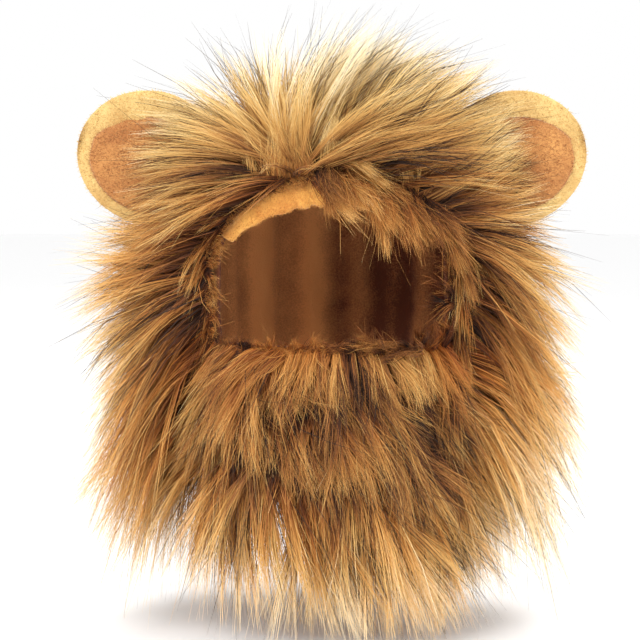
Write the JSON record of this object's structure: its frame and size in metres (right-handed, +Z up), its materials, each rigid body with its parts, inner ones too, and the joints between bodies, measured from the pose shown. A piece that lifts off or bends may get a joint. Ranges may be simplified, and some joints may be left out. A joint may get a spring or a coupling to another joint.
{
  "type": "pet lion mane wig",
  "caption": "Lined long-pile fur hood for a cat or small dog, with plush ears, a gathered brow hem and lapped chin flaps.",
  "frame": {"origin": "the seat: the inside of the lining at the top of the crown, where the wearer's head carries the hood", "axes": "+Z up, the face looks along -Y, +X to the right as seen from in front"},
  "size_m": [0.2152, 0.1576, 0.2321],
  "materials": {
    "mane": "long faux-fur pile, golden ochre with darker roots and black-tipped guard hairs",
    "lining": "short ochre-brown plush",
    "hem": "orange short plush, gathered",
    "ear": "yellow-gold short plush",
    "ear_patch": "brown-orange short plush",
    "closure": "dark brown hook-and-loop tape"
  },
  "bodies": {
    "root": {"hood_lining": "lining", "mane_fur": "mane", "brow_hem": "hem", "left_flap_lining": "lining", "right_flap_lining": "lining", "left_flap_fur": "mane", "right_flap_fur": "mane", "closure_patch": "closure", "left_ear": "ear", "right_ear": "ear", "left_ear_patch": "ear_patch", "right_ear_patch": "ear_patch"}
  },
  "joints": []
}
